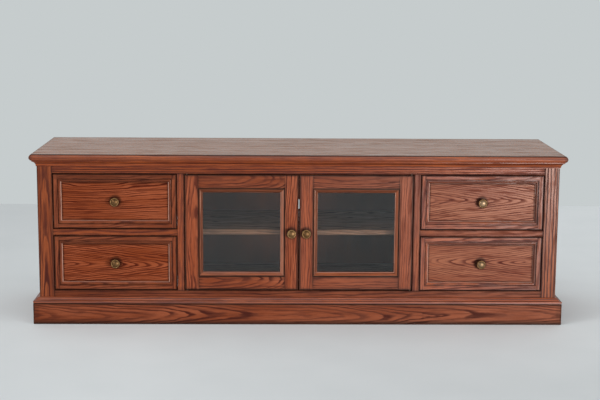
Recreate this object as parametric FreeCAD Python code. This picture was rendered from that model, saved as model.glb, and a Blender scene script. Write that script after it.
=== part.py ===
import FreeCAD, Part
import math
import os
from FreeCAD import Vector

# Low media cabinet: two inset drawers at each end, a pair of inset glazed doors between them.
# Millimetres. X runs along the width, Y from front to back, Z up.
# The origin lies on the floor under the middle of the whole piece, knobs included.

# Overall sizes
top_width = 1800.0
top_depth = 480.0
overall_height = 580.0

# Top and the cove moulding under it
top_thickness = 22.0
top_overhang = 22.0
top_nose_depth = 8.0
cornice_height = 20.0
cornice_lip = 2.0
cornice_fillet = 3.0
cornice_hollow = 2.6

# Plinth and its cap moulding
plinth_height = 72.0
plinth_thickness = 20.0
plinth_round = 2.0
plinth_corner_round = 2.5
cap_height = 19.0
cap_quirk_height = 2.0
cap_quirk_depth = 3.0
cap_lip_height = 6.0
cap_swell = 1.8
cap_hollow = 1.4

# Face frame
frame_thickness = 22.0
post_size = 50.0
post_round = 2.0
arris_round = 1.0
mid_stile_width = 22.0
door_opening_width = 776.0
drawer_rail_height = 21.0
top_reveal = 24.0
bottom_reveal = 22.0
reveal_gap = 2.5

# Carcase
side_rail_thickness = 22.0
side_rail_reveal = 55.0
side_panel_thickness = 8.0
side_panel_inset = 8.0
panel_groove_depth = 8.0
panel_end_clearance = 1.5
partition_thickness = 18.0
bottom_thickness = 18.0
rear_rail_thickness = 22.0
back_thickness = 6.0
back_recess = 6.0
back_lap = 10.0
back_edge_clearance = 2.0
back_bottom = 60.0
top_block_size = 30.0
top_block_length = 40.0
top_block_spacing = 560.0

# Shelf, its pins and the cable hole above it
shelf_thickness = 18.0
shelf_setback = 60.0
shelf_top = 313.5
shelf_clearance = 0.5
shelf_rear_clearance = 2.0
shelf_pin_radius = 2.5
shelf_pin_depth = 8.0
shelf_pin_inset = 50.0
pin_hole_clearance = 0.05
cable_hole_radius = 20.0
cable_hole_rise = 22.0

# Drawer fronts and boxes
drawer_front_thickness = 20.0
front_border = 15.5
front_moulding_width = 12.0
front_quirk_width = 2.6
front_quirk_depth = 4.6
front_bead_depth = 1.9
front_bead_fall = 1.3
front_bead_swell = 1.4
front_foot_height = 1.0
front_panel_recess = 7.0
edge_round = 2.0
box_board = 12.0
box_bottom_thickness = 5.0
box_bottom_rise = 8.0
box_groove_depth = 6.0
box_groove_clearance = 0.5
tail_count = 4
tail_root_width = 20.0
tail_slope = 1.0 / 7.0
box_floor_gap = 8.0
box_top_gap = 32.0
box_rear_gap = 26.0

# Telescopic drawer slides
slide_length = 300.0
slide_height = 36.0
slide_width = 12.7
slide_sheet = 1.2
slide_run_gap = 0.4
slide_rise = 10.0
slide_front_gap = 2.0
outer_lip = 10.5
middle_lip = 11.0
batten_overlap = 7.0

# Doors
door_thickness = 20.0
meeting_gap = 3.0
door_stile_width = 46.5
door_moulding_width = 15.0
door_moulding_depth = 12.0
door_quirk_width = 3.4
door_quirk_depth = 5.0
door_slope_depth = 1.8
door_slope_fall = 3.6
door_slope_swell = 1.0
door_bead_width = 3.6
door_bead_step = 1.0
door_bead_fall = 1.4
door_bead_swell = 1.2
glass_thickness = 4.0
glass_edge_clearance = 1.0
bead_width = 10.0

# Door pivots and catches
pivot_inset = 7.0
pivot_radius = 2.5
pivot_running_clearance = 0.05
pivot_plate_length = 30.0
pivot_plate_width = 8.0
pivot_plate_thickness = 2.5
pivot_plate_tail = 6.0
pivot_engagement = 4.5
pivot_end_clearance = 0.5
pivot_collar_radius = 3.6
pivot_collar_gap = 0.3
catch_offset = 40.0
catch_width = 30.0
catch_depth = 14.0
catch_height = 32.0
catch_drop = 16.0
strike_thickness = 1.7
strike_gap = 0.3
strike_margin = 2.0

# Knobs
knob_radius = 15.0
knob_length = 27.0
knob_seat_radius = 8.5
knob_seat_height = 1.8
knob_neck_radius = 5.5
knob_rim_width = 3.4
knob_rim_height = 5.4
knob_rim_round = 1.2
knob_dome_rise = 4.2
knob_groove_depth = 0.9
knob_screw_radius = 2.0
knob_screw_clearance = 0.3
knob_thread_clearance = 0.05
knob_thread_depth = 10.0
knob_thread_room = 0.5
knob_screw_head_radius = 4.0
knob_screw_head_height = 2.5

# Levels worked out from the sizes above
half_top = top_width / 2
half_carcase = half_top - top_overhang
carcase_depth = top_depth - top_overhang
face_y = (max(knob_length, top_overhang) - carcase_depth) / 2
frame_back = face_y + frame_thickness
back_y = face_y + carcase_depth
back_front = back_y - back_recess - back_thickness
rear_rail_front = back_front - rear_rail_thickness
front_post_back = face_y + post_size
rear_post_front = back_y - post_size

post_inner = half_carcase - post_size
door_bay_half = door_opening_width / 2
drawer_bay_inner = door_bay_half + mid_stile_width
partition_inner = drawer_bay_inner - partition_thickness
side_rail_inner = half_carcase - side_rail_thickness
side_panel_outer = half_carcase - side_panel_inset
side_panel_inner = side_panel_outer - side_panel_thickness

top_under = overall_height - top_thickness
cornice_bottom = top_under - cornice_height
opening_top = cornice_bottom - top_reveal
cap_top = plinth_height + cap_height
opening_bottom = cap_top + bottom_reveal
bottom_under = opening_bottom - bottom_thickness
drawer_opening_height = (opening_top - opening_bottom - drawer_rail_height) / 2
upper_drawer_bottom = opening_top - drawer_opening_height
side_rail_top_edge = cornice_bottom - side_rail_reveal
side_rail_bottom_edge = cap_top + side_rail_reveal
shelf_bottom = shelf_top - shelf_thickness

slide_front = face_y + drawer_front_thickness + slide_front_gap
door_width = (door_opening_width - meeting_gap) / 2 - reveal_gap
door_inner = meeting_gap / 2
door_outer = door_inner + door_width
door_bottom = opening_bottom + reveal_gap
door_top = opening_top - reveal_gap
door_back = face_y + door_thickness
pivot_x = door_outer - pivot_inset
pivot_y = face_y + pivot_inset
pivot_length = reveal_gap + pivot_engagement
catch_low = opening_top - catch_drop
catch_front = door_back + strike_thickness + strike_gap


def block(x0, x1, y0, y1, z0, z1):
    return Part.makeBox(x1 - x0, y1 - y0, z1 - z0, Vector(x0, y0, z0))


def cylinder(radius, start, end):
    axis = end - start
    return Part.makeCylinder(radius, axis.Length, start, axis)


def mirrored(shape):
    return shape.mirror(Vector(0, 0, 0), Vector(1, 0, 0))


def pair(shape):
    return [shape, mirrored(shape)]


# A closed outline: each step is an end point, or a middle point and an end point for an arc.
def outline(start, steps, place):
    edges = []
    here = start
    for step in list(steps) + [start]:
        if isinstance(step[0], tuple):
            middle, there = step
            edges.append(Part.Arc(place(*here), place(*middle), place(*there)).toShape())
        else:
            there = step
            edges.append(Part.LineSegment(place(*here), place(*there)).toShape())
        here = there
    return Part.Face(Part.Wire(edges))


def polygon(points, place):
    return outline(points[0], points[1:], place)


# A point beside the middle of a chord, on its left going from start to end.
def bowed(start, end, rise):
    run = Vector(end[0] - start[0], end[1] - start[1], 0)
    offset = Vector(-run.y, run.x, 0) * (rise / run.Length)
    return ((start[0] + end[0]) / 2 + offset.x, (start[1] + end[1]) / 2 + offset.y)


# Rounds the edges whose two ends both pass one of the given tests.
def eased(shape, radius, tests):
    chosen = []
    for edge in shape.Edges:
        ends = [vertex.Point for vertex in edge.Vertexes]
        if any(all(test(point) for point in ends) for test in tests):
            chosen.append(edge)
    return shape.makeFillet(radius, chosen)


def at(value, level):
    return abs(value - level) < 0.01


# A moulding that runs along the front and both ends of the carcase, mitred at the front corners.
# Its outline is given as projection from the carcase and height from the floor.
def wrapped(start, steps, projection, corner_round=0):
    out_x = half_carcase + projection
    out_y = face_y - projection
    front = outline(start, steps, lambda p, z: Vector(-out_x, face_y - p, z))
    front = front.extrude(Vector(2 * out_x, 0, 0))
    end = outline(start, steps, lambda p, z: Vector(half_carcase + p, out_y, z))
    end = end.extrude(Vector(0, back_y - out_y, 0))
    rise = Vector(0, 0, overall_height)
    flat = lambda x, y: Vector(x, y, 0)
    front_plan = [(-out_x, out_y), (out_x, out_y), (half_carcase, face_y), (-half_carcase, face_y)]
    end_plan = [(out_x, out_y), (out_x, back_y), (half_carcase, back_y), (half_carcase, face_y)]
    front = front.common(polygon(front_plan, flat).extrude(rise))
    end = end.common(polygon(end_plan, flat).extrude(rise))
    if corner_round:
        whole = block(-out_x, out_x, out_y, back_y, 0, overall_height)
        whole = eased(whole, corner_round, [lambda p: at(p.y, out_y) and at(p.x, out_x),
                                            lambda p: at(p.y, out_y) and at(p.x, -out_x)])
        front = front.common(whole)
        end = end.common(whole)
    return front.Solids + end.Solids + mirrored(end).Solids


# Four strips round the inside of a rectangle in the face plane, mitred at the corners.
# The outline is given as distance in from the rectangle and depth behind the face plane.
def mitred_frame(start, steps, width, x0, x1, z0, z1):
    depth = Vector(0, carcase_depth, 0)
    flat = lambda x, z: Vector(x, face_y, z)
    outer = [(x0, z0), (x1, z0), (x1, z1), (x0, z1)]
    inner = [(x0 + width, z0 + width), (x1 - width, z0 + width),
             (x1 - width, z1 - width), (x0 + width, z1 - width)]
    along_x = Vector(x1 - x0, 0, 0)
    along_z = Vector(0, 0, z1 - z0)
    runs = [
        (lambda w, d: Vector(x0, face_y + d, z0 + w), along_x),
        (lambda w, d: Vector(x1 - w, face_y + d, z0), along_z),
        (lambda w, d: Vector(x0, face_y + d, z1 - w), along_x),
        (lambda w, d: Vector(x0 + w, face_y + d, z0), along_z),
    ]
    strips = []
    for side, (place, run) in enumerate(runs):
        after = (side + 1) % 4
        corners = [outer[side], outer[after], inner[after], inner[side]]
        mitre = polygon(corners, flat).extrude(depth)
        strips += outline(start, steps, place).extrude(run).common(mitre).Solids
    return strips


def make_top():
    middle = overall_height - top_thickness / 2
    nose = face_y - top_overhang
    front_steps = [(nose + top_nose_depth, top_under),
                   ((nose, middle), (nose + top_nose_depth, overall_height)),
                   (back_y, overall_height)]
    front = outline((back_y, top_under), front_steps, lambda y, z: Vector(-half_top, y, z))
    front = front.extrude(Vector(top_width, 0, 0))
    corner = half_top - top_nose_depth
    end_steps = [((half_top, middle), (corner, overall_height)), (-corner, overall_height),
                 ((-half_top, middle), (-corner, top_under))]
    ends = outline((corner, top_under), end_steps, lambda x, z: Vector(x, nose, z))
    ends = ends.extrude(Vector(0, top_depth, 0))
    return front.common(ends).Solids


def make_cornice():
    reach = top_overhang - top_nose_depth
    foot = (cornice_lip, cornice_bottom + cornice_lip)
    head = (reach - 1, top_under - cornice_fillet)
    steps = [(cornice_lip, cornice_bottom), foot, (bowed(foot, head, cornice_hollow), head),
             (reach, head[1]), (reach, top_under), (0, top_under)]
    return wrapped((0, cornice_bottom), steps, reach)


def make_plinth_boards():
    edge = plinth_thickness - plinth_round
    shoulder = plinth_height - plinth_round
    bend = bowed((plinth_thickness, shoulder), (edge, plinth_height), -0.29 * plinth_round)
    steps = [(plinth_thickness, 0), (plinth_thickness, shoulder), (bend, (edge, plinth_height)),
             (0, plinth_height)]
    return wrapped((0, 0), steps, plinth_thickness, plinth_corner_round)


def make_plinth_cap():
    lip_bottom = plinth_height + cap_quirk_height
    lip_top = lip_bottom + cap_lip_height
    quirk = plinth_thickness - cap_quirk_depth
    lip = (plinth_thickness - 1, lip_top)
    waist = (plinth_thickness / 2, (lip_top + cap_top) / 2 - 0.5)
    head = (0.5, cap_top)
    steps = [(quirk, plinth_height), (quirk, lip_bottom), (plinth_thickness, lip_bottom),
             (plinth_thickness, lip_top - 1), lip, (bowed(lip, waist, cap_hollow), waist),
             (bowed(waist, head, -cap_swell), head), (0, cap_top)]
    return wrapped((0, plinth_height), steps, plinth_thickness, plinth_corner_round)


def side_panel_space(clearance):
    reach = panel_groove_depth - clearance
    return block(side_panel_inner, side_panel_outer, front_post_back - reach, rear_post_front + reach,
                 side_rail_bottom_edge - reach, side_rail_top_edge + reach)


def make_front_post():
    post = block(post_inner, half_carcase, face_y, front_post_back, 0, top_under)
    post = eased(post, post_round, [lambda p: at(p.x, half_carcase) and at(p.y, face_y)])
    post = eased(post, arris_round, [lambda p: at(p.x, post_inner) and at(p.y, face_y),
                                     lambda p: at(p.x, half_carcase) and at(p.y, front_post_back)])
    return post.cut(side_panel_space(0))


def make_rear_post():
    post = block(post_inner, half_carcase, rear_post_front, back_y, 0, top_under)
    post = eased(post, arris_round, [lambda p: at(p.x, half_carcase) and at(p.y, back_y),
                                     lambda p: at(p.x, half_carcase) and at(p.y, rear_post_front)])
    rebate = block(post_inner, post_inner + back_lap, back_front, back_y, 0, top_under)
    return post.cut(side_panel_space(0)).cut(rebate)


def make_side_rails():
    rails = []
    levels = ((plinth_height, side_rail_bottom_edge, side_rail_bottom_edge),
              (side_rail_top_edge, top_under, side_rail_top_edge))
    for low, high, edge in levels:
        rail = block(side_rail_inner, half_carcase, front_post_back, rear_post_front, low, high)
        rail = eased(rail, arris_round, [lambda p: at(p.x, half_carcase) and at(p.z, edge)])
        rails += pair(rail.cut(side_panel_space(0)))
    return rails


def pivot_plate_space(low, high):
    return block(pivot_x - pivot_plate_length + pivot_plate_tail, pivot_x + pivot_plate_tail,
                 pivot_y - pivot_plate_width / 2, pivot_y + pivot_plate_width / 2, low, high)


def pivot_cylinder(radius, low, high):
    return Part.makeCylinder(radius, high - low, Vector(pivot_x, pivot_y, low))


# Recess for a socket plate and the pin's end behind it. Up is 1 in the top rail, -1 in the bottom rail.
def socket_recess(level, up):
    plate_end = level + up * pivot_plate_thickness
    pin_end = level + up * (pivot_engagement + pivot_end_clearance)
    plate = pivot_plate_space(min(level, plate_end), max(level, plate_end))
    hole = pivot_cylinder(pivot_radius + pivot_end_clearance, min(level, pin_end), max(level, pin_end))
    return plate.fuse(hole)


def make_top_rail():
    rail = block(-post_inner, post_inner, face_y, frame_back, opening_top, top_under)
    rail = eased(rail, arris_round, [lambda p: at(p.y, face_y) and at(p.z, opening_top)])
    recess = socket_recess(opening_top, 1)
    return rail.cut(recess).cut(mirrored(recess))


def make_bottom_rail():
    rail = block(-post_inner, post_inner, face_y, frame_back, plinth_height, opening_bottom)
    rail = eased(rail, arris_round, [lambda p: at(p.y, face_y) and at(p.z, opening_bottom)])
    recess = socket_recess(opening_bottom, -1)
    return rail.cut(recess).cut(mirrored(recess))


def make_mid_stile():
    stile = block(door_bay_half, drawer_bay_inner, face_y, frame_back, opening_bottom, opening_top)
    return eased(stile, arris_round, [lambda p: at(p.y, face_y) and at(p.x, door_bay_half),
                                      lambda p: at(p.y, face_y) and at(p.x, drawer_bay_inner)])


def make_drawer_rail():
    low = upper_drawer_bottom - drawer_rail_height
    rail = block(drawer_bay_inner, post_inner, face_y, frame_back, low, upper_drawer_bottom)
    return eased(rail, arris_round, [lambda p: at(p.y, face_y) and at(p.z, low),
                                     lambda p: at(p.y, face_y) and at(p.z, upper_drawer_bottom)])


def make_pivot_plates():
    plates = []
    levels = ((opening_top, opening_top + pivot_plate_thickness),
              (opening_bottom - pivot_plate_thickness, opening_bottom))
    for low, high in levels:
        hole = pivot_cylinder(pivot_radius + pivot_running_clearance, low, high)
        plates += pair(pivot_plate_space(low, high).cut(hole))
    return plates


def make_rear_rails():
    top = block(-post_inner, post_inner, rear_rail_front, back_front, opening_top, top_under)
    plinth = block(-post_inner, post_inner, rear_rail_front, back_front, 0, bottom_under)
    return [top, plinth]


def shelf_pin(radius, x0, x1, y):
    z = shelf_bottom - shelf_pin_radius - pin_hole_clearance
    return cylinder(radius, Vector(x0, y, z), Vector(x1, y, z))


def shelf_pin_rows():
    front = face_y + shelf_setback + shelf_pin_inset
    rear = back_front - shelf_rear_clearance - shelf_pin_inset
    return (front, rear)


def make_partition():
    board = block(partition_inner, drawer_bay_inner, frame_back, back_front, opening_bottom, top_under)
    for rail in make_rear_rails():
        board = board.cut(rail)
    for y in shelf_pin_rows():
        hole_radius = shelf_pin_radius + pin_hole_clearance
        board = board.cut(shelf_pin(hole_radius, partition_inner, partition_inner + shelf_pin_depth, y))
    return board


def make_shelf_pins():
    pins = []
    for y in shelf_pin_rows():
        pins += pair(shelf_pin(shelf_pin_radius, partition_inner - shelf_pin_depth,
                               partition_inner + shelf_pin_depth, y))
    return pins


def make_shelf():
    half = partition_inner - shelf_clearance
    shelf = block(-half, half, face_y + shelf_setback, back_front - shelf_rear_clearance,
                  shelf_bottom, shelf_top)
    front = face_y + shelf_setback
    return eased(shelf, edge_round, [lambda p: at(p.y, front) and at(p.z, shelf_top),
                                     lambda p: at(p.y, front) and at(p.z, shelf_bottom)])


def make_bottom_panel():
    panel = block(-side_rail_inner, side_rail_inner, frame_back, back_front, bottom_under, opening_bottom)
    for low, high in ((face_y, front_post_back), (rear_post_front, back_y)):
        corner = block(post_inner, half_carcase, low, high, bottom_under, opening_bottom)
        panel = panel.cut(corner).cut(mirrored(corner))
    return panel


def make_back_panel():
    half = post_inner + back_lap - back_edge_clearance
    panel = block(-half, half, back_front, back_front + back_thickness, back_bottom,
                  top_under - back_edge_clearance)
    z = shelf_top + cable_hole_rise
    hole = cylinder(cable_hole_radius, Vector(0, back_front, z), Vector(0, back_y, z))
    return panel.cut(hole)


def make_plinth_bearer():
    bearer = block(partition_inner, drawer_bay_inner, face_y, rear_rail_front, 0, bottom_under)
    return bearer.cut(make_bottom_rail())


def make_top_blocks():
    blocks = []
    low = top_under - top_block_size
    for x in (-top_block_spacing, 0, top_block_spacing):
        for y in (frame_back, rear_rail_front - top_block_size):
            blocks.append(block(x - top_block_length / 2, x + top_block_length / 2,
                                y, y + top_block_size, low, top_under))
    return blocks


# One channel of a slide. Distances run from the carcase face at mount_x towards the drawer.
def slide_channel(mount_x, toward, z_middle, web, tip, half_height):
    inside = web + slide_sheet if tip > web else web - slide_sheet
    inner_height = half_height - slide_sheet
    points = [(web, -half_height), (tip, -half_height), (tip, -inner_height), (inside, -inner_height),
              (inside, inner_height), (tip, inner_height), (tip, half_height), (web, half_height)]
    place = lambda u, w: Vector(mount_x + toward * u, slide_front, z_middle + w)
    return polygon(points, place).extrude(Vector(0, slide_length, 0))


# The outer, middle and inner channels of a drawer of the right bay, one of each per side.
def make_slides(opening_low):
    z_middle = opening_low + slide_rise + slide_height / 2
    nest = slide_sheet + slide_run_gap
    half = slide_height / 2
    outers = []
    middles = []
    inners = []
    for mount_x, toward in ((drawer_bay_inner, 1), (post_inner, -1)):
        outers.append(slide_channel(mount_x, toward, z_middle, 0, outer_lip, half))
        middles.append(slide_channel(mount_x, toward, z_middle, nest, middle_lip, half - nest))
        inners.append(slide_channel(mount_x, toward, z_middle, slide_width, 2 * nest, half - 2 * nest))
    return outers, middles, inners


# Packing that carries the outer slide level with the posts' inner faces.
def make_batten(opening_low):
    high = opening_low + slide_rise + slide_height + batten_overlap
    return block(post_inner, side_rail_inner, front_post_back, rear_post_front, opening_low, high)


# A frame of two full-height stiles and two rails between them, with the front outer edges rounded.
def panel_frame(x0, x1, z0, z1, width, thickness):
    back = face_y + thickness
    rounded = [lambda p: at(p.y, face_y) and at(p.x, x0), lambda p: at(p.y, face_y) and at(p.x, x1),
               lambda p: at(p.y, face_y) and at(p.z, z0), lambda p: at(p.y, face_y) and at(p.z, z1)]
    pieces = []
    for low, high in ((x0, x0 + width), (x1 - width, x1)):
        pieces.append(eased(block(low, high, face_y, back, z0, z1), edge_round, rounded))
    for low, high in ((z0, z0 + width), (z1 - width, z1)):
        pieces.append(eased(block(x0 + width, x1 - width, face_y, back, low, high), edge_round, rounded))
    return pieces


# Turned knob with a raised rim round a low dome, and the screw that holds it from behind.
def make_knob(x, seat_y, z, screw_back_y):
    neck = knob_neck_radius
    groove = knob_length - knob_dome_rise
    rim_front = groove + knob_groove_depth
    rim_back = rim_front - knob_rim_height
    rim_edge = knob_radius - knob_rim_round
    dome_edge = knob_radius - knob_rim_width
    ball = (dome_edge ** 2 + knob_dome_rise ** 2) / (2 * knob_dome_rise)
    half_angle = math.asin(dome_edge / ball) / 2
    crown = (ball * math.sin(half_angle), knob_length - ball * (1 - math.cos(half_angle)))
    foot = (knob_seat_radius, knob_seat_height)
    ankle = (neck + 0.6, knob_seat_height + 2.4)
    calf = (neck + 1.0, rim_back * 0.6)
    flare = (rim_edge, rim_back)
    steps = [(knob_seat_radius, 0), foot, (bowed(foot, ankle, 0.4), ankle),
             (bowed(ankle, calf, 0.8), calf), (bowed(calf, flare, 0.6), flare),
             ((knob_radius, (rim_back + rim_front) / 2), (rim_edge, rim_front)),
             (bowed((rim_edge, rim_front), (dome_edge, groove), -0.8), (dome_edge, groove)),
             (crown, (0, knob_length))]
    profile = outline((0, 0), steps, lambda r, d: Vector(x + r, seat_y - d, z))
    knob = profile.revolve(Vector(x, seat_y, z), Vector(0, 1, 0), 360)
    seat = Vector(x, seat_y, z)
    tip = Vector(x, seat_y - knob_thread_depth, z)
    end = Vector(x, screw_back_y, z)
    room = Vector(0, -knob_thread_room, 0)
    knob = knob.cut(cylinder(knob_screw_radius + knob_thread_clearance, seat, tip + room))
    screw = cylinder(knob_screw_radius, tip, end)
    screw = screw.fuse(cylinder(knob_screw_head_radius, end, end + Vector(0, knob_screw_head_height, 0)))
    return knob.Solids + screw.removeSplitter().Solids


def knob_hole(x, z):
    radius = knob_screw_radius + knob_screw_clearance
    return cylinder(radius, Vector(x, face_y, z), Vector(x, back_y, z))


# Tails on the end of a drawer side, from its shoulder out to the far face of the board it joins.
def dovetails(x, shoulder, end, low, high):
    pitch = (high - low) / tail_count
    spread = abs(end - shoulder) * tail_slope
    tails = []
    for index in range(tail_count):
        middle = low + (index + 0.5) * pitch
        root = tail_root_width / 2
        tip = root + spread
        points = [(shoulder, middle - root), (end, middle - tip),
                  (end, middle + tip), (shoulder, middle + root)]
        tail = polygon(points, lambda y, z: Vector(x, y, z))
        tails.append(tail.extrude(Vector(box_board, 0, 0)))
    return tails


# The pieces of one drawer of the right bay.
def make_drawer(opening_low):
    x0 = drawer_bay_inner + reveal_gap
    x1 = post_inner - reveal_gap
    z0 = opening_low + reveal_gap
    z1 = opening_low + drawer_opening_height - reveal_gap
    x_knob = (x0 + x1) / 2
    z_knob = (z0 + z1) / 2
    front_back = face_y + drawer_front_thickness
    inset = front_border
    front = panel_frame(x0, x1, z0, z1, inset, drawer_front_thickness)
    bead_low = (front_quirk_width, front_bead_depth)
    foot = (front_moulding_width - front_foot_height, front_panel_recess - front_foot_height)
    bead_high = (front_moulding_width - front_quirk_width, front_bead_depth + front_bead_fall)
    steps = [(0, front_quirk_depth), (front_quirk_width, front_quirk_depth), bead_low,
             (bowed(bead_low, bead_high, -front_bead_swell), bead_high), foot,
             (front_moulding_width, foot[1]), (front_moulding_width, front_panel_recess)]
    front += mitred_frame((0, front_panel_recess), steps, front_moulding_width,
                          x0 + inset, x1 - inset, z0 + inset, z1 - inset)
    panel = block(x0 + inset, x1 - inset, face_y + front_panel_recess, front_back, z0 + inset, z1 - inset)
    panel = panel.cut(knob_hole(x_knob, z_knob))

    left = drawer_bay_inner + slide_width
    right = post_inner - slide_width
    low = opening_low + box_floor_gap
    high = opening_low + drawer_opening_height - box_top_gap
    rear = back_front - box_rear_gap
    floor_low = low + box_bottom_rise
    floor_high = floor_low + box_bottom_thickness
    groove = block(left + box_board - box_groove_depth, right - box_board + box_groove_depth,
                   front_back + box_board - box_groove_depth, rear - box_board + box_groove_depth,
                   floor_low, floor_high)
    front_inner = front_back + box_board
    rear_inner = rear - box_board
    sides = []
    ends = [block(left, right, front_back, front_inner, low, high),
            block(left, right, rear_inner, rear, low, high)]
    for x in (left, right - box_board):
        front_tails = dovetails(x, front_inner, front_back, low, high)
        rear_tails = dovetails(x, rear_inner, rear, low, high)
        side = block(x, x + box_board, front_inner, rear_inner, low, high)
        sides.append(side.fuse(front_tails + rear_tails).removeSplitter())
        ends = [ends[0].cut(front_tails), ends[1].cut(rear_tails)]
    ends[0] = ends[0].cut(cylinder(knob_screw_radius + knob_screw_clearance,
                                   Vector(x_knob, front_back, z_knob), Vector(x_knob, front_inner, z_knob)))
    boards = [board.cut(groove).Solids[0] for board in sides + ends]
    reach = box_groove_depth - box_groove_clearance
    floor = block(left + box_board - reach, right - box_board + reach, front_back + box_board - reach,
                  rear - box_board + reach, floor_low, floor_high)
    knob = make_knob(x_knob, face_y + front_panel_recess, z_knob, front_back + box_board)
    return {"front": front, "panel": [panel], "box": boards + [floor], "knob": knob}


def make_door_fittings():
    pieces = []
    for edge, out in ((door_top, 1), (door_bottom, -1)):
        plate_end = edge - out * pivot_plate_thickness
        pin_end = edge + out * pivot_length
        plate = pivot_plate_space(min(edge, plate_end), max(edge, plate_end))
        pin = pivot_cylinder(pivot_radius, min(plate_end, pin_end), max(plate_end, pin_end))
        collar_end = edge + out * (reveal_gap - pivot_collar_gap)
        collar = pivot_cylinder(pivot_collar_radius, min(edge, collar_end), max(edge, collar_end))
        pieces += plate.fuse([pin, collar]).removeSplitter().Solids
    strike_half = catch_width / 2 - strike_margin
    strike = block(catch_offset - strike_half, catch_offset + strike_half, door_back,
                   door_back + strike_thickness, catch_low, door_top - strike_margin)
    return pieces + [strike]


# The pieces of the right door.
def make_door():
    inset = door_stile_width
    frame = panel_frame(door_inner, door_outer, door_bottom, door_top, inset, door_thickness)
    x_knob = door_inner + door_stile_width / 2
    z_knob = (door_bottom + door_top) / 2
    recess = pivot_plate_space(door_top - pivot_plate_thickness, door_top)
    recess = recess.fuse(pivot_plate_space(door_bottom, door_bottom + pivot_plate_thickness))
    recess = recess.fuse(knob_hole(x_knob, z_knob))
    frame = [piece.cut(recess) for piece in frame]

    x0 = door_inner + inset
    x1 = door_outer - inset
    z0 = door_bottom + inset
    z1 = door_top - inset
    wide = door_moulding_width
    deep = door_moulding_depth
    slope_top = (door_quirk_width, door_slope_depth)
    slope_foot = (wide - door_bead_width, door_slope_depth + door_slope_fall)
    bead_start = (slope_foot[0], slope_foot[1] + door_bead_step)
    bead_end = (wide, bead_start[1] + door_bead_fall)
    steps = [(0, door_quirk_depth), (door_quirk_width, door_quirk_depth), slope_top,
             (bowed(slope_top, slope_foot, -door_slope_swell), slope_foot), bead_start,
             (bowed(bead_start, bead_end, -door_bead_swell), bead_end), (wide, deep)]
    moulding = mitred_frame((0, deep), steps, wide, x0, x1, z0, z1)

    glass_front = face_y + deep
    glass_back = glass_front + glass_thickness
    clear = glass_edge_clearance
    glass = block(x0 + clear, x1 - clear, glass_front, glass_back, z0 + clear, z1 - clear)
    bead_front = deep + glass_thickness
    bead_steps = [(0, door_thickness), (bead_width - 2, door_thickness), (bead_width, door_thickness - 2),
                  (bead_width, bead_front)]
    beads = mitred_frame((0, bead_front), bead_steps, bead_width, x0, x1, z0, z1)
    knob = make_knob(x_knob, face_y, z_knob, door_back)
    return {"frame": frame, "moulding": moulding, "glass": [glass], "beads": beads, "knob": knob,
            "fittings": make_door_fittings()}


# Magnet housing: fixed to the back of the top rail above, level with the door's strike plate below.
def make_catch():
    left = catch_offset - catch_width / 2
    right = catch_offset + catch_width / 2
    rear = max(frame_back, catch_front) + catch_depth
    head = block(left, right, frame_back, rear, opening_top, catch_low + catch_height)
    face = block(left, right, catch_front, rear, catch_low, opening_top)
    return head.fuse(face).removeSplitter().Solids[0]


def build_nodes():
    nodes = {
        "top_panel": make_top(),
        "cornice": make_cornice(),
        "front_posts": pair(make_front_post()),
        "rear_posts": pair(make_rear_post()),
        "top_rail": [make_top_rail()],
        "bottom_rail": [make_bottom_rail()],
        "mid_stiles": pair(make_mid_stile()),
        "drawer_rails": pair(make_drawer_rail()),
        "side_panels": pair(side_panel_space(panel_end_clearance)),
        "side_rails": make_side_rails(),
        "partitions": pair(make_partition()),
        "bottom_panel": [make_bottom_panel()],
        "shelf": [make_shelf()],
        "shelf_pins": make_shelf_pins(),
        "back_panel": [make_back_panel()],
        "rear_rails": make_rear_rails(),
        "plinth_boards": make_plinth_boards(),
        "plinth_cap": make_plinth_cap(),
        "plinth_bearers": pair(make_plinth_bearer()),
        "pivot_plates": make_pivot_plates(),
        "door_catches": pair(make_catch()),
        "top_blocks": make_top_blocks(),
        "slide_outers": [],
        "slide_battens": [],
    }
    for level, opening_low in (("lower", opening_bottom), ("upper", upper_drawer_bottom)):
        pieces = make_drawer(opening_low)
        outers, pieces["slide_middles"], pieces["runners"] = make_slides(opening_low)
        for outer in outers:
            nodes["slide_outers"] += pair(outer)
        nodes["slide_battens"] += pair(make_batten(opening_low))
        for piece, solids in pieces.items():
            nodes[f"drawer_{level}_right_{piece}"] = solids
            nodes[f"drawer_{level}_left_{piece}"] = [mirrored(solid) for solid in solids]
    for piece, solids in make_door().items():
        nodes[f"door_right_{piece}"] = solids
        nodes[f"door_left_{piece}"] = [mirrored(solid) for solid in solids]
    return nodes


os.makedirs("parts", exist_ok=True)
for name, solids in build_nodes().items():
    shape = solids[0] if len(solids) == 1 else Part.makeCompound(solids)
    shape.exportStep(f"parts/{name}.step")
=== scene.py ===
import math

import bpy
from mathutils import Matrix, Vector


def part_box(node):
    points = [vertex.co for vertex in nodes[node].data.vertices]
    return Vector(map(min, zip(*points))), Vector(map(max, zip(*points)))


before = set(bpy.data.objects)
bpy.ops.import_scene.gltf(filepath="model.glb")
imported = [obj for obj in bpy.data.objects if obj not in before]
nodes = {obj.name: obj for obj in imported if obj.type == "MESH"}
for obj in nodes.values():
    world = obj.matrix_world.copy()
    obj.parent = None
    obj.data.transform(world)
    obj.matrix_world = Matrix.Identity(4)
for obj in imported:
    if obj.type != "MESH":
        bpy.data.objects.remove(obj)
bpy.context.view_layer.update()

print("frame loaded:", len(nodes), "nodes")

x, y, z = 0, 1, 2


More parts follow.
